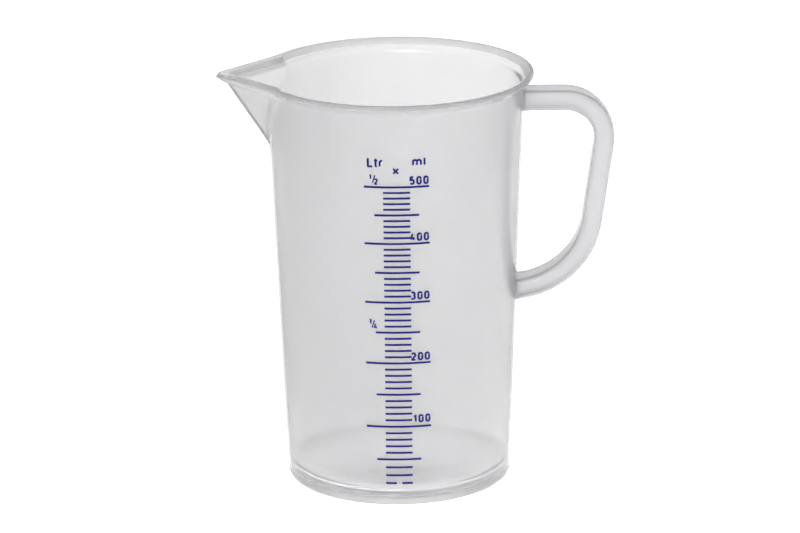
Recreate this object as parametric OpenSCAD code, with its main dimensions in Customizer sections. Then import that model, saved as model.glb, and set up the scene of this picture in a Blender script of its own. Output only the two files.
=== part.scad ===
// Half-litre measuring jug, moulded in one piece from natural polypropylene, with a printed scale.
// Origin on the vessel's axis at the plane it stands on. +Z up, spout along -X, handle along +X,
// scale on the -Y side. The moulding is divided at its natural zones, which meet face to face.

/* [Vessel] */
// Height from the standing plane to the top of the rim
height = 141; // [125:1:160]
// Outer radius of the wall at the standing plane
base_r = 37.8; // [34:0.1:41]
// Outer radius that the tapered wall would have at the rim's top
wall_top_r = 43.3; // [41:0.1:46]
// Wall thickness at the foot
wall_base_t = 2; // [1.6:0.1:2.6]
// Wall thickness at the rim
wall_top_t = 1.4; // [1.2:0.1:1.8]
// Thickness of the floor
floor_t = 2.35; // [1.6:0.05:4]
// Depth of the recess under the floor
foot_h = 1.3; // [0.8:0.1:3]
// Width of the ring that the jug stands on
foot_w = 2.4; // [1.5:0.1:5]
// Radius inside, where the floor turns up into the wall
corner_r = 7; // [3:0.5:9]
// Rise of the floor from its edge to its middle
floor_rise = 1.2; // [0.2:0.1:1.6]
// Radius of the outer bottom edge
heel_r = 0.8; // [0.4:0.1:1.4]

/* [Rim] */
// How far the turned-out lip stands beyond the wall's top radius
lip_out = 3; // [2.2:0.1:5]
// Height over which the wall flares out into the lip
flare_h = 4; // [3:0.1:6]
// Height of the lip's outer band
lip_h = 2.1; // [1.4:0.1:2.6]
// Width of the lip's flat top
lip_w = 1.4; // [1:0.1:2]
// Rounding of the lip's two outer edges
lip_edge_r = 0.5; // [0.2:0.1:0.6]

/* [Spout] */
// How far the spout's tip reaches beyond the round of the rim
spout_out = 14; // [10:0.1:19]
// Angle at the axis from the middle of the spout to where its lip leaves the rim
spout_half_angle = 28; // [24:1:32]
// Depth below the rim's top at which the spout's keel meets the wall
keel_drop = 25.4; // [19:0.2:37]
// How far the nose slopes back from the tip to its top
nose_back = 1.9; // [0.5:0.1:3]

/* [Handle] */
// How far the handle's outermost point stands beyond the wall's top radius
handle_out = 30.2; // [25:0.1:40]
// Thickness of the handle in the plane of its loop
grip_t = 7; // [5.5:0.1:9]
// Width of the handle across its loop
grip_w = 12.6; // [9:0.1:16]
// Rounding of the handle's long edges
grip_edge_r = 2.3; // [1:0.1:2.6]
// Depth of the upper arm's centreline below the rim's top
upper_arm_drop = 9.8; // [9:0.1:13]
// Depth of the lower arm's centreline below the rim's top
lower_arm_drop = 75.9; // [66:0.1:91]
// Centreline radius of the upper bend
upper_bend_r = 13.3; // [9:0.1:16]
// Centreline radius of the lower bend
lower_bend_r = 28; // [20:0.5:32]
// Lean of the grip towards the vessel as it goes down, in degrees
grip_lean = 8.4; // [0:0.2:12]
// Length over which each arm widens to its root on the wall
root_len = 3; // [1:0.5:5]
// How much each side of an arm widens at its root
root_flare = 3.2; // [0:0.2:5]

/* [Scale] */
// Depth below the rim's top of the line that marks the full measure
full_drop = 28.35; // [26:0.05:46]
// Thickness of the printed lines
line_t = 0.7; // [0.3:0.02:1]
// Length of a long line, one for each 100 ml
long_l = 21.7; // [16:0.1:26]
// Length of a medium line, half-way between long ones
medium_l = 14.8; // [11:0.1:16]
// Length of a short bar, one for each 10 ml
short_l = 8.9; // [5:0.1:11]
// Pitch of the bars below the lowest medium line, which stand wider apart
low_pitch = 2.85; // [2:0.05:3.2]
// Gap in the middle of the lowest bar
low_gap = 1.8; // [0:0.1:3]
// Thickness of the printed ink
ink_t = 0.12; // [0.05:0.01:0.3]

/* [Hidden] */
$fn = 96;
// Overrun of cutting solids past the faces they cut
over = 1;
// The spout's panels stand this proud of the wall at the flare, clear of the wall's own edge
panel_proud = 0.05;
// The straight grip stands this proud of the bends and runs this far into them, which joins
// the three as one solid
grip_proud = 0.05;
grip_overlap = 0.5;
// Steps of 10 ml up to the full measure, and how they are grouped
full_steps = 50;
steps_per_long = 10;
steps_per_medium = 5;
low_steps = 3;
// Points on a rounded corner, and degrees in a quarter turn
corner_steps = 8;
quarter = 90;

// Outer and inner radius of the tapered wall at a height
function outer_r(z) = base_r + (wall_top_r - base_r) * z / height;
function wall_t(z) = wall_base_t + (wall_top_t - wall_base_t) * z / height;
function inner_r(z) = outer_r(z) - wall_t(z);

rim_r = wall_top_r + lip_out;
spout_reach = rim_r + spout_out;
keel_z = height - keel_drop;
handle_reach = wall_top_r + handle_out;
upper_arm_z = height - upper_arm_drop;
lower_arm_z = height - lower_arm_drop;
full_z = height - full_drop;
floor_z = foot_h + floor_t;
seat_z = floor_z + corner_r;
flare_z = height - flare_h;

// The spout's lip runs straight from its tip to the rim, turned this far from the -X axis
lip_run_angle = atan2(rim_r * sin(spout_half_angle), spout_reach - rim_r * cos(spout_half_angle));
// The keel runs down from under the tip to the wall
panel_r = outer_r(flare_z) + panel_proud;
keel_top_x = panel_r * spout_reach / rim_r;
keel_slope = (keel_top_x - outer_r(keel_z)) / (flare_z - keel_z);
// Shares of the inner radius to which the spout's solid and its hollow reach inside the vessel
spout_depth_share = 0.8;
hollow_depth_share = 0.7;
// The hollow spout is opened this much wider at the vessel, in degrees
hollow_extra_angle = 5;

// Centres of the two bends, in the plane of the loop, and the ends of the straight grip
upper_c = [handle_reach - grip_t / 2 - upper_bend_r, upper_arm_z - upper_bend_r];
grip_out = [cos(grip_lean), -sin(grip_lean)];
grip_top = upper_c + upper_bend_r * grip_out;
grip_l = (grip_top[1] - lower_arm_z - lower_bend_r * (1 - sin(grip_lean))) / cos(grip_lean);
grip_low = grip_top - grip_l * [sin(grip_lean), cos(grip_lean)];
lower_c = grip_low - lower_bend_r * grip_out;
// Arms start this deep inside the wall's outer face before they are cut to seat on it
root_depth = root_len + root_flare;

// Volume held below a height: a cone's frustum, less the rounded corner and the rise of the floor.
// The corner's cross-section is a square less a quarter circle, turned about the axis.
taper = (inner_r(height) - inner_r(0)) / height;
corner_area_share = 1 - PI / 4;
corner_centroid_share = (10 - 3 * PI) / (3 * (4 - PI));
corner_loss = 2 * PI * (inner_r(floor_z) - corner_centroid_share * corner_r)
    * corner_area_share * corner_r * corner_r;
rise_loss = PI * pow(inner_r(floor_z) - corner_r, 2) * floor_rise / 3;
floor_loss = corner_loss + rise_loss;
full_volume = PI * (pow(inner_r(full_z), 3) - pow(inner_r(floor_z), 3)) / (3 * taper) - floor_loss;

// Height that holds a number of steps, from the frustum's volume turned round
function held_z(steps) = floor_z
    + (pow(pow(inner_r(floor_z), 3) + 3 * taper * (full_volume * steps / full_steps + floor_loss) / PI,
           1 / 3) - inner_r(floor_z)) / taper;
// Below the lowest medium line the bars go down by an even pitch
function mark_z(steps) = steps < steps_per_medium
    ? held_z(steps_per_medium) - (steps_per_medium - steps) * low_pitch
    : held_z(steps);

// Points of a quarter circle about a centre, from one angle on
function quarter_arc(centre, r, from) =
    [for (i = [0:corner_steps]) centre + r * [cos(from + quarter * i / corner_steps),
                                              sin(from + quarter * i / corner_steps)]];

// Cross-section of the foot, the floor and the rounded corner, up to where the wall seats
module pan_profile() {
    heel_c = [outer_r(0) - heel_r, heel_r];
    corner_c = [inner_r(seat_z) - corner_r, seat_z];
    foot_in_r = outer_r(0) - heel_r - foot_w;
    polygon(concat(
        [[0, foot_h], [foot_in_r - foot_h, foot_h], [foot_in_r, 0]],
        quarter_arc(heel_c, heel_r, -quarter),
        [[outer_r(seat_z), seat_z]],
        [for (i = [0:corner_steps]) corner_c + corner_r * [cos(quarter * i / corner_steps),
                                                           -sin(quarter * i / corner_steps)]],
        [[0, floor_z + floor_rise]]));
}

// Outer side of the lip, from where the wall flares out up to the rounded edge of its top
lip_outside = [[outer_r(flare_z), flare_z], [rim_r - lip_edge_r, height - lip_h],
               [rim_r, height - lip_h + lip_edge_r], [rim_r, height - lip_edge_r],
               [rim_r - lip_edge_r, height]];
lip_inside = [[inner_r(flare_z), flare_z], [rim_r - lip_w, height]];
beak_profile = [for (p = lip_outside) p[1] == flare_z ? [panel_r, flare_z] : p];

// Corners of the beak's plan at a height, for a radius on the rim, a half angle at the axis and
// a reach into the vessel. Every level has the same outline, as large as its radius on the rim.
function beak_level(p, half_angle, near_r) =
    let (side_r = p[0] * spout_reach / rim_r * sin(lip_run_angle)
             / sin(lip_run_angle + half_angle),
         ray = [-cos(half_angle), sin(half_angle)])
    [[-p[0] * spout_reach / rim_r, 0, p[1]],
     [side_r * ray[0], side_r * ray[1], p[1]], [near_r * ray[0], near_r * ray[1], p[1]],
     [near_r * ray[0], -near_r * ray[1], p[1]], [side_r * ray[0], -side_r * ray[1], p[1]]];
// Lowest point of the beak, where its keel and panels end inside the vessel
function beak_root(p, near_r) =
    [-near_r, 0, p[1] - (p[0] * spout_reach / rim_r - near_r) / keel_slope];

// Solid from the beak's root up through its levels
module beak(root, levels) {
    n = len(levels);
    polyhedron(
        points = concat([for (level = levels) each level], [root]),
        faces = concat(
            [[for (i = [0:4]) 5 * (n - 1) + i]],
            [for (k = [0:1:n - 2], i = [0:4])
                [5 * k + i, 5 * k + (i + 1) % 5, 5 * k + 5 + (i + 1) % 5, 5 * k + 5 + i]],
            [for (i = [0:4]) [(i + 1) % 5, i, 5 * n]]));
}
module beak_outside() {
    near_r = spout_depth_share * inner_r(flare_z);
    beak(beak_root(beak_profile[0], near_r),
         [for (p = beak_profile) beak_level(p, spout_half_angle, near_r)]);
}
// Beak without a lip, from its root through one level and straight on up to a height
module straight_beak(p, half_angle, near_r, top) {
    root = beak_root(p, near_r);
    grown = (top - root[2]) / (p[1] - root[2]);
    beak(root, [[for (corner = beak_level(p, half_angle, near_r))
        root + grown * (corner - root)]]);
}
module beak_notch() {
    straight_beak(beak_profile[0], spout_half_angle, spout_depth_share * inner_r(flare_z),
                  flare_z + over);
}
// Inside, the panels run straight up at the keel's slope, so the rim's flare ends at the spout
module beak_inside() {
    straight_beak(lip_inside[0], spout_half_angle + hollow_extra_angle,
                  hollow_depth_share * inner_r(flare_z), height + over);
}

// Solid inside of the vessel, or solid up to its outer face
module bore_cone() {
    translate([0, 0, floor_z])
        cylinder(h = height - floor_z, r1 = inner_r(floor_z), r2 = inner_r(height));
}
module outer_cone() {
    cylinder(h = height, r1 = outer_r(0), r2 = outer_r(height));
}

module base_pan() {
    color("#dcdde0")
        rotate_extrude() pan_profile();
}

module vessel_wall() {
    color("#d8dadd")
        difference() {
            rotate_extrude()
                polygon([[inner_r(seat_z), seat_z], [outer_r(seat_z), seat_z],
                         [outer_r(flare_z), flare_z], [inner_r(flare_z), flare_z]]);
            beak_notch();
        }
}

module rim_lip() {
    color("#c9cacf")
        rotate_extrude(start = spout_half_angle - 2 * quarter,
                       angle = 4 * quarter - 2 * spout_half_angle)
            polygon(concat(lip_outside, [lip_inside[1], lip_inside[0]]));
}

module pouring_spout() {
    widest_z = height - lip_h + lip_edge_r;
    nose_angle = atan2(nose_back, height - widest_z);
    color("#d2d4d8")
        difference() {
            beak_outside();
            beak_inside();
            bore_cone();
            translate([-spout_reach, 0, widest_z])
                rotate([0, nose_angle, 0])
                    translate([-spout_reach, -spout_reach, -widest_z])
                        cube([spout_reach, 2 * spout_reach, 2 * widest_z]);
        }
}

// Rounded cross-section of the handle, widened on each side, and proud all round
module grip_section(wider, proud = 0) {
    flat_t = grip_t - 2 * grip_edge_r;
    flat_w = grip_w - 2 * grip_edge_r + 2 * wider;
    edge_r = grip_edge_r + proud;
    square([flat_t + 2 * edge_r, flat_w], center = true);
    square([flat_t, flat_w + 2 * edge_r], center = true);
    for (x = [-flat_t, flat_t] / 2, y = [-flat_w, flat_w] / 2)
        translate([x, y]) circle(edge_r, $fn = 32);
}

// Flared root of an arm at a height, from inside the wall out to the plain section
module arm_root(z) {
    hull() {
        translate([outer_r(z) - root_depth, 0, z])
            rotate([0, quarter, 0])
                linear_extrude(over) grip_section(2 * root_flare);
        translate([outer_r(z) + root_len - over, 0, z])
            rotate([0, quarter, 0])
                linear_extrude(over) grip_section(0);
    }
}

module handle_bend(centre, r, from, turn) {
    translate([centre[0], 0, centre[1]])
        rotate([quarter, 0, 0])
            rotate_extrude(start = from, angle = turn)
                translate([r, 0]) grip_section(0);
}

module loop_handle() {
    inside_x = outer_r(lower_arm_z) - root_depth;
    color("#cfd1d5")
        difference() {
            union() {
                translate([inside_x, 0, upper_arm_z])
                    rotate([0, quarter, 0])
                        linear_extrude(upper_c[0] - inside_x) grip_section(0);
                handle_bend(upper_c, upper_bend_r, -grip_lean, quarter + grip_lean);
                translate([grip_low[0], 0, grip_low[1]])
                    rotate([0, grip_lean, 0])
                        translate([0, 0, -grip_overlap])
                            linear_extrude(grip_l + 2 * grip_overlap)
                                grip_section(0, grip_proud);
                handle_bend(lower_c, lower_bend_r, -quarter, quarter - grip_lean);
                translate([inside_x, 0, lower_arm_z])
                    rotate([0, quarter, 0])
                        linear_extrude(lower_c[0] - inside_x) grip_section(0);
                arm_root(upper_arm_z);
                arm_root(lower_arm_z);
            }
            outer_cone();
        }
}

// A printed line of a given length round the front of the wall, turned off centre by an angle
module printed_line(z, length, off_angle) {
    low = z - line_t / 2;
    high = z + line_t / 2;
    turn = length / outer_r(z) * 2 * quarter / PI;
    rotate_extrude(start = -quarter + off_angle - turn / 2, angle = turn)
        polygon([[outer_r(low), low], [outer_r(low) + ink_t, low],
                 [outer_r(high) + ink_t, high], [outer_r(high), high]]);
}

module long_graduations() {
    color("#26267a")
        for (steps = [steps_per_long:steps_per_long:full_steps])
            printed_line(mark_z(steps), long_l, 0);
}

module medium_graduations() {
    color("#26267a")
        for (steps = [steps_per_medium:steps_per_long:full_steps])
            printed_line(mark_z(steps), medium_l, 0);
}

module short_graduations() {
    lowest = steps_per_medium - low_steps;
    dash_l = (short_l - low_gap) / 2;
    dash_turn = (dash_l + low_gap) / outer_r(mark_z(lowest)) * quarter / PI;
    color("#26267a") {
        for (steps = [lowest + 1:full_steps])
            if (steps % steps_per_medium != 0)
                printed_line(mark_z(steps), short_l, 0);
        for (side = [-1, 1])
            printed_line(mark_z(lowest), dash_l, side * dash_turn);
    }
}

base_pan();
vessel_wall();
rim_lip();
pouring_spout();
loop_handle();
long_graduations();
medium_graduations();
short_graduations();
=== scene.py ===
import math

import bpy
import numpy as np
from mathutils import Matrix, Vector


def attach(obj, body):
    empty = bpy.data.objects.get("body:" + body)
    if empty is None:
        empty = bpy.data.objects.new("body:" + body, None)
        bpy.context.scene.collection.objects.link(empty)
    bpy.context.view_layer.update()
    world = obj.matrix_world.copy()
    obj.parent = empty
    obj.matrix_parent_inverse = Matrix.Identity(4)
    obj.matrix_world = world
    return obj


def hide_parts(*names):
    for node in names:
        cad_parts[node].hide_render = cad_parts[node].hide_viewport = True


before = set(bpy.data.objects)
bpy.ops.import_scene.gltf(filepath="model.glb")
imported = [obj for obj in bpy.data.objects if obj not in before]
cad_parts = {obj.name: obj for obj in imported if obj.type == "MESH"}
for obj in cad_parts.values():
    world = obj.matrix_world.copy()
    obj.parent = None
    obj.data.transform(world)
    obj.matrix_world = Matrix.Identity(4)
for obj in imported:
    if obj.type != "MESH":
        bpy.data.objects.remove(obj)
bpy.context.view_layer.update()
scene = bpy.context.scene
print("frame loaded:", ", ".join(sorted(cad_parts)))

mm = 0.001


def smoothShade(mesh, angle=40.0):
    # round surfaces are shaded smooth, and edges sharper than the angle in degrees stay crisp
    mesh.shade_smooth()
    mesh.set_sharp_from_angle(angle=math.radians(angle))


def meshObject(name, points, faces, smoothAngle=40.0):
    # points in mm; the place goes into the mesh and the object stays at the origin
    mesh = bpy.data.meshes.new(name)
    mesh.from_pydata((np.asarray(points) * mm).tolist(), [], faces)
    mesh.update()
    made = bpy.data.objects.new(name, mesh)
    scene.collection.objects.link(made)
    smoothShade(mesh, smoothAngle)
    return made


def gridFaces(rows, columns, start=0):
    # four-sided faces between neighbouring rows of points, where each row closes round
    i, j = np.meshgrid(np.arange(rows - 1), np.arange(columns), indexing="ij")
    k = (j + 1) % columns
    here, above = i * columns, (i + 1) * columns
    quads = np.stack([here + j, here + k, above + k, above + j], axis=-1)
    return (quads.reshape(-1, 4) + start).tolist()


def fanFaces(ring, centre, flip=False):
    # triangles from a ring of points to one centre point
    after, middle = np.roll(ring, -1), np.full_like(ring, centre)
    return np.stack([after, ring, middle] if flip else [ring, after, middle], axis=-1).tolist()


def closedSkin(name, points, poles):
    # rows of points that close round, with a fan to a pole before the first row and after the last
    rows, columns = points.shape[:2]
    ring = np.arange(columns)
    faces = gridFaces(rows, columns) + fanFaces(ring, rows * columns, flip=True) \
        + fanFaces(ring + (rows - 1) * columns, rows * columns + 1)
    return meshObject(name, np.vstack([points.reshape(-1, 3), poles]), faces)


def reportVolume(thing):
    # sum over the triangles of a . (b x c) / 6, which is positive where the faces point outwards
    mesh = thing.data
    mesh.calc_loop_triangles()
    places = np.empty(len(mesh.vertices) * 3)
    mesh.vertices.foreach_get("co", places)
    corners = np.empty(len(mesh.loop_triangles) * 3, int)
    mesh.loop_triangles.foreach_get("vertices", corners)
    p = places.reshape(-1, 3)[corners.reshape(-1, 3)]
    volume = np.einsum("ij,ij->i", p[:, 0], np.cross(p[:, 1], p[:, 2])).sum() / 6
    print(thing.name, "volume", round(volume * 1e9), "mm3, faces", len(mesh.polygons))


# the vessel in mm and degrees; its main sizes are those of the part's source
vessel = {
    "height": 141.0, "baseRadius": 37.8, "wallTopRadius": 43.3, "wallAtBase": 2.0, "wallAtTop": 1.4,
    # base: a foot ring round a recess, and a floor that rises gently to its middle
    "recess": 1.3, "recessRound": 0.6, "footWidth": 2.4, "footRound": 0.3, "heelRound": 0.8,
    "straightFrom": 10.0, "floor": 2.35, "floorCorner": 7.0,
    "floorEdge": 1.0, "floorEdgeRound": 3.0,
    "floorRise": 1.2, "riseAt": 12.0, "riseShare": 0.86, "riseRound": 12.0,
    # rim: a flare, and a lip band round it
    "rimRadius": 46.3, "flare": 4.0, "flareRound": 1.6, "flareRoundInside": 3.0,
    "lipBand": 1.7, "lipTop": 1.4, "lipRound": 0.5, "innerLipRound": 0.35,
    "bandBack": 0.35, "bandRoundUnder": 0.3, "bandRoundSide": 0.5,
    # spout: two flat panels that meet at a keel, and a nose that slopes back
    "spoutReach": 60.3, "spoutHalfAngle": 28.0, "keelHeight": 115.6, "keelRound": 0.5,
    "creaseRound": 0.9, "creaseRoundInside": 0.3, "leastReach": 5.0,
    "noseBack": 1.6, "noseRound": 0.4, "noseWithin": 1.2, "flareEnd": 6.0, "flareBelow": 2.0,
    # where the lip and the foot are solid and take the edge finish, whose darker colour is painted
    # shade: above one height, below another and beyond a radius
    "lipFrom": 139.3, "footTo": 3.6, "footBeyond": 34.0,
    # mesh: finer across the spout, and fine rows from a little below the keel up
    "arcSteps": 9, "columnsRound": 150, "columnsSpout": 150, "fineBeside": 8.0,
    "rowStep": 0.6, "rowStepLow": 3.0, "fineBelowKeel": 6.0, "fineBeyond": 30.0,
}


def outerRadius(z):
    # straight taper from the standing plane to the rim
    widening = (vessel["wallTopRadius"] - vessel["baseRadius"]) * z / vessel["height"]
    return vessel["baseRadius"] + widening


def innerRadius(z):
    # the outer radius less a wall that thins evenly upwards
    thinning = (vessel["wallAtTop"] - vessel["wallAtBase"]) * z / vessel["height"]
    return outerRadius(z) - vessel["wallAtBase"] - thinning


def roundedPath(corners, steps):
    # Corners are rows of x, y, reach and a radius. Each becomes an arc that touches both its sides:
    # centre + (a * sin((1 - w) * T) + b * sin(w * T)) / sin(T), for w from 0 to 1, where a and b
    # run from the arc's centre to its ends and T is its turn. The reach runs along in proportion.
    points = np.array([corner[:3] for corner in corners], float)
    nearlyHalf, leastRadius = 0.49, 1e-3
    out = [points[:1]]
    for before, here, after, corner in zip(points[:-2], points[1:-1], points[2:], corners[1:-1]):
        u, v = before - here, after - here
        lengthU, lengthV = np.hypot(*u[:2]), np.hypot(*v[:2])
        half = 0.5 * math.acos(np.clip(np.dot(u[:2], v[:2]) / lengthU / lengthV, -1, 1))
        back = min(corner[3] / math.tan(half), nearlyHalf * lengthU, nearlyHalf * lengthV)
        radius = back * math.tan(half)
        if radius < leastRadius:
            out.append(here[None])
            continue
        middle = u[:2] / lengthU + v[:2] / lengthV
        centre = here[:2] + middle / np.hypot(*middle) * radius / math.sin(half)
        a = here[:2] + u[:2] / lengthU * back - centre
        b = here[:2] + v[:2] / lengthV * back - centre
        turn = math.pi - 2 * half
        w = np.linspace(0, 1, steps)
        arc = a * np.sin((1 - w) * turn)[:, None] + b * np.sin(w * turn)[:, None]
        reach = np.where(w < 0.5, here[2] + u[2] * back / lengthU * (1 - 2 * w),
                         here[2] + v[2] * back / lengthV * (2 * w - 1))
        out.append(np.column_stack([arc / math.sin(turn) + centre, reach]))
    out.append(points[-1:])
    return np.vstack(out)


def refine(path, stepAt):
    # divides each stretch evenly, so that no step is longer than stepAt at its middle
    a, b = path[:-1], path[1:]
    counts = np.ceil(np.hypot(*(b - a)[:, :2].T) / stepAt(0.5 * (a + b)))
    rows = [p + (q - p) * (np.arange(n) / n)[:, None]
            for p, q, n in zip(a, b, np.maximum(1, counts).astype(int))]
    return np.vstack(rows + [path[-1:]])


def smoothMax(a, b, k):
    # the larger of two, blended over a band k wide: a + (b - a) h + k h (1 - h), where h goes from
    # 0 to 1 as b passes a
    h = np.clip(0.5 + 0.5 * (b - a) / k, 0, 1)
    return a + (b - a) * h + k * h * (1 - h)


def makeVessel():
    # A profile (radius, height) is carried round the axis. Its third value is how far the spout's
    # keel reaches at that point. At plan angle f from the spout the radius is the larger of the
    # round wall and the flat panel, reach * sin(a) / sin(a + |f|), blended over a small radius.
    s = vessel
    top, rim, lip = s["height"], s["rimRadius"], s["lipRound"]
    flareZ, bandZ = top - s["flare"], top - s["lipBand"]
    share = s["spoutReach"] / rim
    halfAngle = math.radians(s["spoutHalfAngle"])
    # the angle a, between the keel and the panel's line in plan
    run = math.atan2(rim * math.sin(halfAngle), s["spoutReach"] - rim * math.cos(halfAngle))
    keelTop, keelTopInside = outerRadius(flareZ) * share, innerRadius(flareZ) * share
    slope = (keelTop - outerRadius(s["keelHeight"])) / (flareZ - s["keelHeight"])
    floorZ = s["recess"] + s["floor"]
    seatZ, riseZ = floorZ + s["floorCorner"], floorZ + s["floorRise"]
    footIn = outerRadius(0) - s["heelRound"] - s["footWidth"]
    lowZ = s["straightFrom"]

    def keelAt(z, atFlare):  # the keel's reach at a height, on its straight slope below the flare
        return atFlare + slope * (z - flareZ)

    corners = [  # radius, height, the keel's reach, rounding
        [0.0, s["recess"], 0, 0],
        [footIn - s["recess"], s["recess"], 0, s["recessRound"]],
        [footIn, 0.0, 0, s["footRound"]],
        [outerRadius(0), 0.0, 0, s["heelRound"]],
        [outerRadius(lowZ), lowZ, keelAt(lowZ, keelTop), 0],
        [outerRadius(flareZ), flareZ, keelTop, s["flareRound"]],
        [rim - s["bandBack"], bandZ, (rim - s["bandBack"]) * share, s["bandRoundUnder"]],
        [rim, bandZ + lip, rim * share, s["bandRoundSide"]],
        [rim, top, rim * share, lip],
        [rim - s["lipTop"], top, keelTopInside + slope * s["flare"], s["innerLipRound"]],
        [innerRadius(flareZ), flareZ, keelTopInside, s["flareRoundInside"]],
        [innerRadius(seatZ), seatZ, keelAt(seatZ, keelTopInside), 0],
        [innerRadius(floorZ), floorZ, 0, s["floorCorner"]],
        [innerRadius(floorZ) - s["floorCorner"] - s["floorEdge"], floorZ, 0, s["floorEdgeRound"]],
        [s["riseAt"], floorZ + s["floorRise"] * s["riseShare"], 0, s["riseRound"]],
        [0.0, riseZ, 0, 0],
    ]
    profile = refine(roundedPath(corners, s["arcSteps"]), lambda middle: np.where(
        (middle[:, 1] > s["keelHeight"] - s["fineBelowKeel"]) & (middle[:, 0] > s["fineBeyond"]),
        s["rowStep"], s["rowStepLow"]))
    skin = profile[1:-1]
    # columns: even round the vessel, finer across the spout, one on the keel itself
    wide = math.radians(s["spoutHalfAngle"] + s["fineBeside"])
    fine = np.linspace(-wide, wide, s["columnsSpout"] + 1)
    coarse = np.linspace(wide, 2 * math.pi - wide, s["columnsRound"] + 1)[1:-1]
    f = np.concatenate([fine, coarse])  # angle from the spout's middle
    away = np.abs((f + math.pi) % (2 * math.pi) - math.pi)
    soft = s["keelRound"] / rim
    away = np.sqrt(away ** 2 + soft ** 2) - soft * np.exp(-away / soft)
    beside = np.minimum(away, math.pi / 2 - run)  # past here the panel's line would turn out again
    r0, z, reach = skin[:, :1], skin[:, 1:2], skin[:, 2:3]
    panel = np.maximum(reach, 0.0) * math.sin(run) / np.sin(run + beside)
    # inside, the round rim's flare ends where the spout's lip leaves it
    isInside = np.arange(len(skin))[:, None] > np.argmax(skin[:, 1])
    isFlare = isInside & (z > flareZ - s["flareBelow"])
    fade = np.clip((away - halfAngle) / math.radians(s["flareEnd"]) + 0.5, 0, 1)
    fade = fade * fade * (3 - 2 * fade)
    plain = np.minimum(r0, innerRadius(z))
    r0 = np.where(isFlare, plain + (r0 - plain) * fade, r0)
    crease = np.where(isInside, s["creaseRoundInside"], s["creaseRound"])
    r = np.where(reach > s["leastReach"], smoothMax(r0, panel, crease), r0)
    # the nose slopes back from the lip's widest level to its top
    rise = np.clip((z - bandZ - lip) / (top - bandZ - lip), 0, 1)
    nose = (s["spoutReach"] - s["noseBack"] * rise) / np.cos(np.minimum(away, s["noseWithin"]))
    r = np.where(z > bandZ, -smoothMax(-r, -nose, s["noseRound"]), r)
    angle = math.pi + f
    points = np.stack([r * np.cos(angle), r * np.sin(angle), np.broadcast_to(z, r.shape)], axis=-1)
    poles = np.array([[0, 0, profile[0, 1]], [0, 0, profile[-1, 1]]])
    return closedSkin("measuringJug", points, poles)


# the loop handle: thick in the loop's plane and wide across it, the arms' heights at their middles
handle = {
    "reach": 73.5, "thick": 7.0, "wide": 12.6, "edgeRound": 2.6, "squareness": 2.2,
    "upperArm": 131.2, "lowerArm": 65.1, "upperBend": 13.3, "lowerBend": 28.0, "lean": 8.4,
    # the roots: how deep they sink, how far out they swell and by how much, and how far the
    # sections follow the wall's curve
    "sunk": 0.75, "rootLength": 3.2, "rootFlareWide": 0.7, "rootFlareThick": 0.15,
    "followWall": 5.0,
    # mesh: the steps along the loop, and points round the bar and along a bend's construction line
    "step": 1.2, "stepAtWall": 0.3, "around": 56, "bendPoints": 400, "pathPoints": 2000,
}


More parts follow.
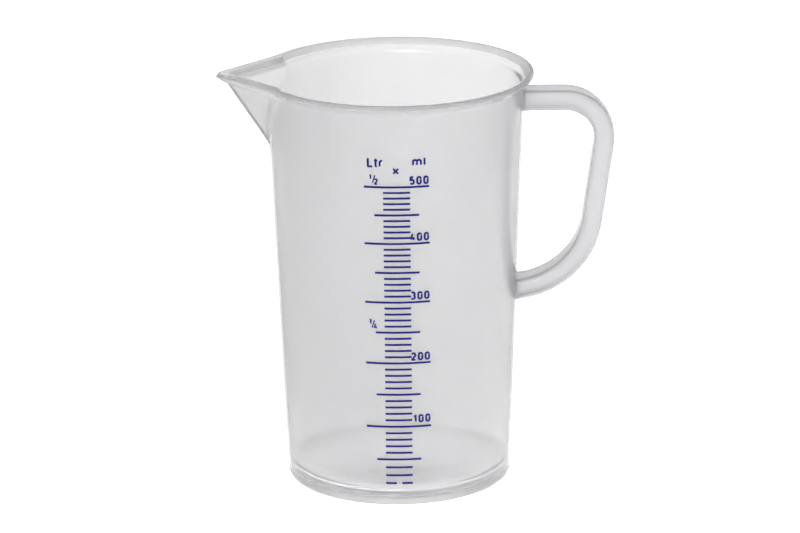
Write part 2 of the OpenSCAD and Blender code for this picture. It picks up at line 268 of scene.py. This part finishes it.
def makeHandle():
    # The path is a level arm, a bend, a leaning grip and a lower bend that ends in the wall. Round
    # it goes a rounded rectangle: a circle of the edge's radius, pushed out to each side by what is
    # left of the half size.
    # Near the wall, at a distance d, the half sizes grow by flare * (1 - sqrt(1 - (1 - d/L)^2)),
    # a quarter ellipse, and each section bends to the wall's own curve.
    s = handle
    lean = math.radians(s["lean"])
    upper, lower = s["upperBend"], s["lowerBend"]
    upperCentre = np.array([s["reach"] - s["thick"] / 2 - upper, s["upperArm"] - upper])
    outwards = np.array([math.cos(lean), -math.sin(lean)])
    gripTop = upperCentre + upper * outwards
    gripDrop = gripTop[1] - s["lowerArm"] - lower * (1 - math.sin(lean))
    gripLow = gripTop - gripDrop / math.cos(lean) * np.array([math.sin(lean), math.cos(lean)])
    lowerCentre = gripLow - lower * outwards
    wallTop, wallLow = outerRadius(s["upperArm"]), outerRadius(s["lowerArm"])

    def arc(centre, radius, start, end):  # centre + radius * (cos a, sin a)
        a = np.linspace(start, end, s["bendPoints"])
        return np.column_stack([centre[0] + radius * np.cos(a), centre[1] + radius * np.sin(a)])

    # the lower bend runs right into the wall, with no level stretch after it
    intoWall = -math.acos((wallLow - s["sunk"] - lowerCentre[0]) / lower)
    line = np.vstack([[wallTop - s["sunk"], s["upperArm"]],
                      arc(upperCentre, upper, math.pi / 2, -lean),
                      arc(lowerCentre, lower, -lean, intoWall)])
    t = np.concatenate([[0], np.cumsum(np.hypot(*np.diff(line, axis=0).T))])
    # Sections stand closer together near the wall. The step grows from fine to coarse between half
    # a root's length and one and a half from the end.
    dense = np.linspace(0, t[-1], s["pathPoints"])
    nearest = np.minimum(dense, t[-1] - dense)
    growth = np.clip(nearest / s["rootLength"] - 0.5, 0, 1)
    step = s["stepAtWall"] + (s["step"] - s["stepAtWall"]) * growth
    count = np.concatenate([[0], np.cumsum(np.diff(dense) / step[1:])])
    at = np.interp(np.linspace(0, count[-1], int(count[-1]) + 1), count, dense)
    path = np.column_stack([np.interp(at, t, line[:, 0]), np.interp(at, t, line[:, 1])])
    along = np.gradient(path, at, axis=0)
    along /= np.hypot(*along.T)[:, None]
    side = np.column_stack([-along[:, 1], along[:, 0]])  # to the left of travel, out of the loop
    wall = np.where(np.arange(len(path)) < len(path) / 2, wallTop, wallLow)
    fromWall = np.maximum(path[:, 0] - wall, 0)
    root = np.clip(1 - fromWall / s["rootLength"], 0, 1)
    swell = 1 - np.sqrt(np.maximum(0, 1 - root ** 2))
    around = s["around"]
    q = np.linspace(2 * math.pi, 0, around, endpoint=False) - math.pi / around
    edge = s["edgeRound"]
    halfThick = (s["thick"] / 2 - edge + s["rootFlareThick"] * swell)[:, None]
    halfWide = (s["wide"] / 2 - edge + s["rootFlareWide"] * swell)[:, None]
    push = np.clip(np.stack([np.cos(q), np.sin(q)]) * s["squareness"], -1, 1)
    outside = halfThick * push[0] + edge * np.cos(q)
    y = halfWide * push[1] + edge * np.sin(q)
    x = path[:, :1] + side[:, :1] * outside
    z = path[:, 1:] + side[:, 1:] * outside
    # sections near the wall follow its curve, less and less over followWall
    follow = np.clip(1 - fromWall / s["followWall"], 0, 1)[:, None] ** 2
    x = x + follow * (np.sqrt(outerRadius(z) ** 2 - y ** 2) - wall[:, None])
    points = np.stack([x, y, z], axis=-1)
    poles = np.array([points[0].mean(axis=0), points[-1].mean(axis=0)])
    return closedSkin("handleBar", points, poles)


def linear(code):
    # sRGB hex to the linear values that the shader wants
    c = np.array([int(code[i:i + 2], 16) for i in (1, 3, 5)]) / 255
    return tuple(np.where(c <= 0.04045, c / 12.92, ((c + 0.055) / 1.055) ** 2.4)) + (1.0,)


def addNode(tree, kind, settings=None, links=None):
    # a node of a kind, with attributes or input values set, and inputs linked to sockets
    node = tree.nodes.new(kind)
    for key, value in (settings or {}).items():
        if key in node.inputs.keys():
            node.inputs[key].default_value = value
        else:
            setattr(node, key, value)
    for key, socket in (links or {}).items():
        tree.links.new(socket, node.inputs[key])
    return node


def emptyMaterial(name):
    # a new material and its node tree, with nothing in it yet
    made = bpy.data.materials.new(name)
    made.use_nodes = True
    made.node_tree.nodes.clear()
    return made, made.node_tree


# Natural polypropylene in three finishes, with its depths and sizes in mm. The clouds are as wide
# as the melt's flow marks. The skin's real grain is a few hundredths of a millimetre, and is drawn
# coarser so that it shows.
polypropylene = {
    "thinWall": {"colour": "#e9e9ea", "cloud": "#e5e5e6", "roughness": 0.12,
                 "transmission": 0.8, "scatterDepth": 6.0},
    # edge finish: the thick lip and foot ring are rougher and milkier, and its darker colour and
    # cloud are painted shade on these bands
    "edge": {"colour": "#dadadb", "cloud": "#d6d6d7", "roughness": 0.35,
             "transmission": 0.7, "scatterDepth": 3.0},
    "thickBar": {"colour": "#d8d8da", "cloud": "#d4d4d6", "roughness": 0.2,
                 "transmission": 0.6, "scatterDepth": 2.0},
    "ior": 1.49, "subsurface": 1.0, "cloudSize": 22.0, "cloudDetail": 3.0, "cloudRoughness": 0.55,
    "grainSize": 0.35, "grainDetail": 2.0, "grainStrength": 0.12, "grainDepth": 0.02,
    "shineLess": 0.04, "shineMore": 0.05,
}


def naturalPolypropyleneMoulded(name, zone):
    # natural polypropylene, injection moulded: hazy and translucent where it is thin, milkier where
    # it is thick, with a satin skin, faint clouding and a fine grain
    s = {**polypropylene, **zone}
    made, tree = emptyMaterial(name)
    place = addNode(tree, "ShaderNodeTexCoord").outputs["Object"]
    cloud = addNode(tree, "ShaderNodeTexNoise", {
        "Scale": 1 / (s["cloudSize"] * mm), "Detail": s["cloudDetail"],
        "Roughness": s["cloudRoughness"]}, {"Vector": place})
    tint = addNode(tree, "ShaderNodeMix", {"data_type": "RGBA"}, {0: cloud.outputs["Fac"]})
    tint.inputs[6].default_value = linear(s["colour"])
    tint.inputs[7].default_value = linear(s["cloud"])
    grain = addNode(tree, "ShaderNodeTexNoise", {
        "Scale": 1 / (s["grainSize"] * mm), "Detail": s["grainDetail"]}, {"Vector": place})
    bump = addNode(tree, "ShaderNodeBump", {
        "Strength": s["grainStrength"], "Distance": s["grainDepth"] * mm},
        {"Height": grain.outputs["Fac"]})
    shine = addNode(tree, "ShaderNodeMapRange", {
        "To Min": s["roughness"] - s["shineLess"], "To Max": s["roughness"] + s["shineMore"]},
        {"Value": cloud.outputs["Fac"]})
    shader = addNode(tree, "ShaderNodeBsdfPrincipled", {
        "IOR": s["ior"], "Transmission Weight": s["transmission"],
        "Subsurface Weight": s["subsurface"], "Subsurface Scale": s["scatterDepth"] * mm,
        "Subsurface Radius": (1.0, 1.0, 1.0)},
        {"Base Color": tint.outputs[2], "Roughness": shine.outputs["Result"],
         "Normal": bump.outputs["Normal"]})
    addNode(tree, "ShaderNodeOutputMaterial", None, {"Surface": shader.outputs[0]})
    return made


def isSolidEdge(face):
    # the lip, and the foot ring with its heel: the faces of the edge finish, where its darker
    # colour is painted shade
    x, y, z = (v / mm for v in face.center)
    return z > vessel["lipFrom"] or z < vessel["footTo"] and math.hypot(x, y) > vessel["footBeyond"]


jug = makeVessel()
reportVolume(jug)
bar = makeHandle()
reportVolume(bar)
# the edge finish's darker colour is painted shade on the lip and foot bands
for piece, name, zone in ((jug, "naturalPolypropyleneThinWall", "thinWall"),
                          (bar, "naturalPolypropyleneThickBar", "thickBar"),
                          (jug, "naturalPolypropyleneEdgePaintedShade", "edge")):
    piece.data.materials.append(naturalPolypropyleneMoulded(name, polypropylene[zone]))
jug.data.polygons.foreach_set(
    "material_index", np.array([isSolidEdge(face) for face in jug.data.polygons], np.int32))
# vessel and bar become one moulding, each face with its own finish
union = jug.modifiers.new("oneMoulding", "BOOLEAN")
union.operation, union.solver, union.object = "UNION", "MANIFOLD", bar
union.material_mode = "TRANSFER"
bpy.context.view_layer.update()
whole = jug.evaluated_get(bpy.context.evaluated_depsgraph_get())
jug.data, loose = bpy.data.meshes.new_from_object(whole), jug.data
jug.modifiers.clear()
jug.data.name = "measuringJug"
bpy.data.objects.remove(bar, do_unlink=True)
bpy.data.meshes.remove(loose)
smoothShade(jug.data)
reportVolume(jug)
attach(jug, "root")
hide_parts("base_pan", "vessel_wall", "rim_lip", "pouring_spout", "loop_handle")
print("moulding made, materials:", [m.name for m in jug.data.materials])

# a real screen's dots are about 0.1 mm, and are drawn coarser so that they show
ink = {"colour": "#141466", "worn": "#262780", "roughness": 0.5, "specular": 0.15,
       "dotSize": 0.5, "dotDetail": 2.0, "wornFrom": 0.58, "wornTo": 0.72}


def printedInk():
    # screen-printed ink film: dense navy and dull, with small lighter specks where the film is thin
    s = ink
    made, tree = emptyMaterial("navyInkScreenPrinted")
    place = addNode(tree, "ShaderNodeTexCoord").outputs["Object"]
    speck = addNode(tree, "ShaderNodeTexNoise", {
        "Scale": 1 / (s["dotSize"] * mm), "Detail": s["dotDetail"]}, {"Vector": place})
    thin = addNode(tree, "ShaderNodeMapRange", {
        "From Min": s["wornFrom"], "From Max": s["wornTo"]}, {"Value": speck.outputs["Fac"]})
    tint = addNode(tree, "ShaderNodeMix", {"data_type": "RGBA"}, {0: thin.outputs["Result"]})
    tint.inputs[6].default_value = linear(s["colour"])
    tint.inputs[7].default_value = linear(s["worn"])
    shader = addNode(tree, "ShaderNodeBsdfPrincipled", {
        "Roughness": s["roughness"], "Specular IOR Level": s["specular"]},
        {"Base Color": tint.outputs[2]})
    addNode(tree, "ShaderNodeOutputMaterial", None, {"Surface": shader.outputs[0]})
    return made


printing = printedInk()
for name in ("long_graduations", "medium_graduations", "short_graduations"):
    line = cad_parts[name]
    line.data.materials.clear()
    line.data.materials.append(printing)
print("scale lines inked")


def bow(cx, cy, rx, ry, start, end, steps=14):
    # part of an ellipse: centre + (rx * cos a, ry * sin a), with a in degrees
    a = np.radians(np.linspace(start, end, steps))
    return np.column_stack([cx + rx * np.cos(a), cy + ry * np.sin(a)])


def stroke(*parts):
    # one stroke of the pen through single points and bows
    return np.vstack([np.atleast_2d(np.array(part, float)) for part in parts])


# each sign's advance and its strokes, in a cell whose height is 1
glyphs = {
    "0": (1.04, [stroke(bow(0.27, 0.73, 0.27, 0.27, 0, 180),
                        bow(0.27, 0.27, 0.27, 0.27, 180, 360), (0.54, 0.73))]),
    "1": (0.86, [stroke((0.06, 0.76), (0.32, 1.0), (0.32, 0.0))]),
    "2": (1.04, [stroke(bow(0.27, 0.73, 0.27, 0.27, 165, -30), (0.0, 0.0), (0.56, 0.0))]),
    "3": (1.04, [stroke(bow(0.26, 0.755, 0.25, 0.245, 155, -70),
                        bow(0.26, 0.27, 0.28, 0.27, 75, -155))]),
    "4": (1.04, [stroke((0.32, 1.0), (0.0, 0.26), (0.60, 0.26)),
                 stroke((0.44, 0.52), (0.44, 0.0))]),
    "5": (1.04, [stroke((0.50, 1.0), (0.06, 1.0), (0.03, 0.54),
                        bow(0.26, 0.31, 0.28, 0.31, 130, -150))]),
    "L": (0.75, [stroke((0.0, 1.0), (0.0, 0.0), (0.55, 0.0))]),
    "t": (0.60, [stroke((0.14, 0.96), bow(0.28, 0.14, 0.14, 0.14, 180, 280)),
                 stroke((-0.06, 0.70), (0.36, 0.70))]),
    "r": (0.44, [stroke((0.0, 0.70), (0.0, 0.0)),
                 stroke((0.0, 0.45), bow(0.22, 0.47, 0.20, 0.23, 170, 60))]),
    "m": (1.52, [stroke((0.0, 0.72), (0.0, 0.0)),
                 stroke((0.0, 0.46), bow(0.26, 0.48, 0.26, 0.24, 160, 0), (0.52, 0.0)),
                 stroke((0.52, 0.46), bow(0.78, 0.48, 0.26, 0.24, 160, 0), (1.04, 0.0))]),
    "l": (0.20, [stroke((0.0, 1.0), (0.0, 0.0))]),
    "x": (1.0, [stroke((0.0, 0.0), (1.0, 1.0)), stroke((0.0, 1.0), (1.0, 0.0))]),
    "/": (0.5, [stroke((0.0, 0.0), (0.32, 1.0))]),
}

# width of a stroke, and how far its film stands out of the wall and reaches into it, in mm
lettering = {"stroke": 0.68, "film": 0.06, "under": 0.03, "smoothAngle": 30.0,
             "step": 0.1, "leastSteps": 8, "endSteps": 5, "tipShare": 0.05}


def strokeRibbon(line, width):
    # A flat film along a line: the half width is w, and w * sqrt(1 - (1 - t/w)^2) at a distance t
    # from either end, which rounds the ends.
    s = lettering
    gap = np.hypot(*np.diff(line, axis=0).T)
    length = np.concatenate([[0], np.cumsum(gap)])
    n = max(s["leastSteps"], int(length[-1] / s["step"]))
    half = width / 2
    lead = half * (1 - np.cos(np.linspace(0, math.pi / 2, s["endSteps"])))
    t = np.concatenate([lead[:-1], np.linspace(half, length[-1] - half, n),
                        length[-1] - lead[::-1][1:]])
    centre = np.column_stack([np.interp(t, length, line[:, 0]), np.interp(t, length, line[:, 1])])
    along = np.gradient(centre, t, axis=0)
    along /= np.maximum(np.hypot(*along.T), 1e-9)[:, None]
    cross = np.column_stack([-along[:, 1], along[:, 0]])
    near = np.clip(1 - np.minimum(t, length[-1] - t) / half, 0, 1)
    w = half * np.maximum(np.sqrt(np.maximum(1 - near ** 2, 0)), s["tipShare"])
    return centre + cross * w[:, None], centre - cross * w[:, None]


def onWall(flat, lift):
    # arc length from the front line round the tapered wall, and height, to a place in space: the
    # angle is the length over the outer radius
    z = flat[:, 1]
    a = flat[:, 0] / outerRadius(z) - math.pi / 2
    r = outerRadius(z) + lift
    return np.stack([r * np.cos(a), r * np.sin(a), z], axis=-1)


def makeWriting(name, words):
    # words are rows of text, left end round the wall, base height, letter height, width share and
    # stroke share; each stroke is a closed strip with four corners all along
    points, faces, count = [], [], 0
    for text, left, base, tall, spread, bold in words:
        pen = left
        for letter in text:
            advance, strokes = glyphs[letter]
            for shape in strokes:
                line = shape * [tall * spread, tall] + [pen, base]
                a, b = strokeRibbon(line, bold * lettering["stroke"])
                rows = np.stack([onWall(edge, lift) for edge, lift in (
                    (a, lettering["film"]), (b, lettering["film"]),
                    (b, -lettering["under"]), (a, -lettering["under"]))], axis=1)
                last = count + 4 * (len(rows) - 1)
                points.append(rows.reshape(-1, 3))
                faces += gridFaces(len(rows), 4, start=count)
                faces += [[count + i for i in (3, 2, 1, 0)], [last + i for i in (0, 1, 2, 3)]]
                count += 4 * len(rows)
            pen += advance * tall * spread
    made = meshObject(name, np.vstack(points), faces, lettering["smoothAngle"])
    reportVolume(made)
    made.data.materials.append(printing)
    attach(made, "root")


# The numerals end on one line at the right, each a little above its graduation. Its rows are the
# value, the line's height and the gap up to the digits. The last digit's width is a share.
numeral = {
    "tall": 2.3, "wide": 0.97, "right": 10.36, "lastDigit": 0.54,
    "rows": ((500, 112.65, 1.06), (400, 93.04, 1.12), (300, 72.50, 1.12), (200, 50.99, 1.12),
             (100, 28.36, 1.6)),
}
# rows as makeWriting takes them
fractions = (
    ("1", -8.95, 115.4, 1.4, 0.9, 0.8), ("/", -7.95, 114.0, 2.8, 1.0, 0.6),
    ("2", -7.25, 113.75, 1.65, 0.95, 0.8),
    ("1", -9.5, 64.8, 1.55, 0.9, 0.8), ("/", -8.65, 63.4, 2.7, 1.0, 0.6),
    ("4", -7.9, 63.2, 1.7, 0.85, 0.7),
)
units = (
    ("Ltr", -9.4, 119.75, 2.9, 1.0, 1.0), ("ml", 5.5, 120.1, 2.5, 1.0, 1.0),
    ("x", -1.1, 117.3, 1.8, 0.97, 0.95),
)
numerals = []
for value, lineZ, above in numeral["rows"]:
    advance = glyphs[str(value)[0]][0] + glyphs["0"][0] + numeral["lastDigit"]
    left = numeral["right"] - advance * numeral["tall"] * numeral["wide"]
    numerals.append((str(value), left, lineZ + above, numeral["tall"], numeral["wide"], 1.0))
makeWriting("millilitreNumerals", numerals)
makeWriting("litreFractions", fractions)
makeWriting("unitWords", units)
print("writing made")

studio = {
    "floorColour": "#404041", "floorRoughness": 0.9,
    "floorX": (-6000, 6000), "floorY": (-3000, 9000),
    # The floor glows like a light table. Its glow is a sum of ramps, each of them an axis, the two
    # places it runs between, the glow at each, and its kind.
    "glow": (
        ("Y", 0.0, 75.0, 0.3, 0.0, "SMOOTHSTEP"),       # near the jug
        ("Y", 150.0, 350.0, 0.0, 0.1, "SMOOTHSTEP"),    # far behind it
        ("X", -60.0, 60.0, 0.97, 1.22, "LINEAR"),       # all over, more to the right
    ),
    # floor and sky are dimmer far out to the sides: shares of their light at the left and the right
    "floorSides": (0.6, 0.5), "sideFrom": 210.0, "sideTo": 450.0,
    "sky": 0.85, "skySides": (0.7, 0.45), "skyFrom": 0.3, "skyTo": 0.9,
    "lightAim": (0, 0, 80),
    "keyPanel": {"place": (-250, -1100, 600), "size": (600, 600), "power": 4.5},
    "fillPanel": {"place": (700, -500, 500), "size": (500, 700), "power": 0.3},
}


def sideFade(tree, across, start, end, shares):
    # 1 in the middle, fading smoothly between the distances start and end to a share at either side
    left, right = (addNode(tree, "ShaderNodeMapRange", {
        "interpolation_type": "SMOOTHSTEP", "From Min": sign * start, "From Max": sign * end,
        "To Min": 1.0, "To Max": share}, {"Value": across}).outputs["Result"]
        for sign, share in zip((-1, 1), shares))
    both = addNode(tree, "ShaderNodeMath", {"operation": "MULTIPLY"}, {0: left, 1: right})
    return both.outputs[0]


def makeFloor():
    # a level sheet, z = 0 everywhere
    (x0, x1), (y0, y1) = studio["floorX"], studio["floorY"]
    corners = [[x0, y0, 0], [x1, y0, 0], [x1, y1, 0], [x0, y1, 0]]
    made = meshObject("studioFloor", corners, [[0, 1, 2, 3]])
    paint = bpy.data.materials.new("paleStudioFloorPainted")
    paint.use_nodes = True
    tree = paint.node_tree
    shader = tree.nodes["Principled BSDF"]
    shader.inputs["Base Color"].default_value = linear(studio["floorColour"])
    shader.inputs["Roughness"].default_value = studio["floorRoughness"]
    shader.inputs["Emission Color"].default_value = (1, 1, 1, 1)
    place = addNode(tree, "ShaderNodeTexCoord")
    parts = addNode(tree, "ShaderNodeSeparateXYZ", None, {"Vector": place.outputs["Object"]})
    glow = None
    for axis, start, end, atStart, atEnd, kind in studio["glow"]:
        ramp = addNode(tree, "ShaderNodeMapRange", {
            "interpolation_type": kind, "From Min": start * mm, "From Max": end * mm,
            "To Min": atStart, "To Max": atEnd}, {"Value": parts.outputs[axis]}).outputs["Result"]
        glow = ramp if glow is None else addNode(
            tree, "ShaderNodeMath", {"operation": "ADD"}, {0: ramp, 1: glow}).outputs[0]
    sides = sideFade(tree, parts.outputs["X"], studio["sideFrom"] * mm, studio["sideTo"] * mm,
                     studio["floorSides"])
    total = addNode(tree, "ShaderNodeMath", {"operation": "MULTIPLY"}, {0: glow, 1: sides})
    tree.links.new(total.outputs[0], shader.inputs["Emission Strength"])
    made.data.materials.append(paint)


def makeSky():
    # even white, dimmer towards the sides
    s = studio
    world = bpy.data.worlds.new("paleStudio")
    scene.world = world
    world.use_nodes = True
    tree = world.node_tree
    place = addNode(tree, "ShaderNodeTexCoord")
    parts = addNode(tree, "ShaderNodeSeparateXYZ", None, {"Vector": place.outputs["Generated"]})
    sides = sideFade(tree, parts.outputs["X"], s["skyFrom"], s["skyTo"], s["skySides"])
    total = addNode(tree, "ShaderNodeMath", {"operation": "MULTIPLY"}, {0: sides})
    total.inputs[1].default_value = s["sky"]
    tree.nodes["Background"].inputs["Color"].default_value = (1, 1, 1, 1)
    tree.links.new(total.outputs[0], tree.nodes["Background"].inputs["Strength"])


def softLight(name):
    # a white panel that faces the jug's middle
    panel = studio[name]
    light = bpy.data.lights.new(name, "AREA")
    light.shape, light.energy = "RECTANGLE", panel["power"]
    light.size, light.size_y = (side * mm for side in panel["size"])
    made = bpy.data.objects.new(name, light)
    made.location = Vector(panel["place"]) * mm
    towards = Vector(studio["lightAim"]) - Vector(panel["place"])
    made.rotation_euler = towards.to_track_quat("-Z", "Y").to_euler()
    scene.collection.objects.link(made)


makeFloor()
makeSky()
softLight("keyPanel")
softLight("fillPanel")

# the camera fitted to the photo: mm, degrees and pixels; it looks along +Y and down
view = {
    "distance": 1500.0, "elevation": 17.4005, "roll": -0.5829, "target": (0.8729, 0.0, 72.2552),
    "focalPixels": 4417.503, "pictureWidth": 800.0, "sensor": 36.0, "clip": (50.0, 50000.0),
}


def makeCamera():
    # its axes are the rows across, upward and backward, after the roll
    el, roll = math.radians(view["elevation"]), math.radians(view["roll"])
    ahead = Vector((0, math.cos(el), -math.sin(el)))
    right, up = Vector((1, 0, 0)), Vector((0, math.sin(el), math.cos(el)))
    across = right * math.cos(roll) + up * math.sin(roll)
    upward = up * math.cos(roll) - right * math.sin(roll)
    eye = Vector(view["target"]) - ahead * view["distance"]
    lens = bpy.data.cameras.new("photoCamera")
    lens.sensor_fit, lens.sensor_width = "HORIZONTAL", view["sensor"]
    lens.lens = view["focalPixels"] * view["sensor"] / view["pictureWidth"]
    lens.clip_start, lens.clip_end = (distance * mm for distance in view["clip"])
    made = bpy.data.objects.new("photoCamera", lens)
    turned = Matrix((across, upward, -ahead)).transposed().to_4x4()
    turned.translation = eye * mm
    made.matrix_world = turned
    scene.collection.objects.link(made)
    return made


scene.camera = makeCamera()
scene.view_settings.view_transform = "Standard"
print("studio made")
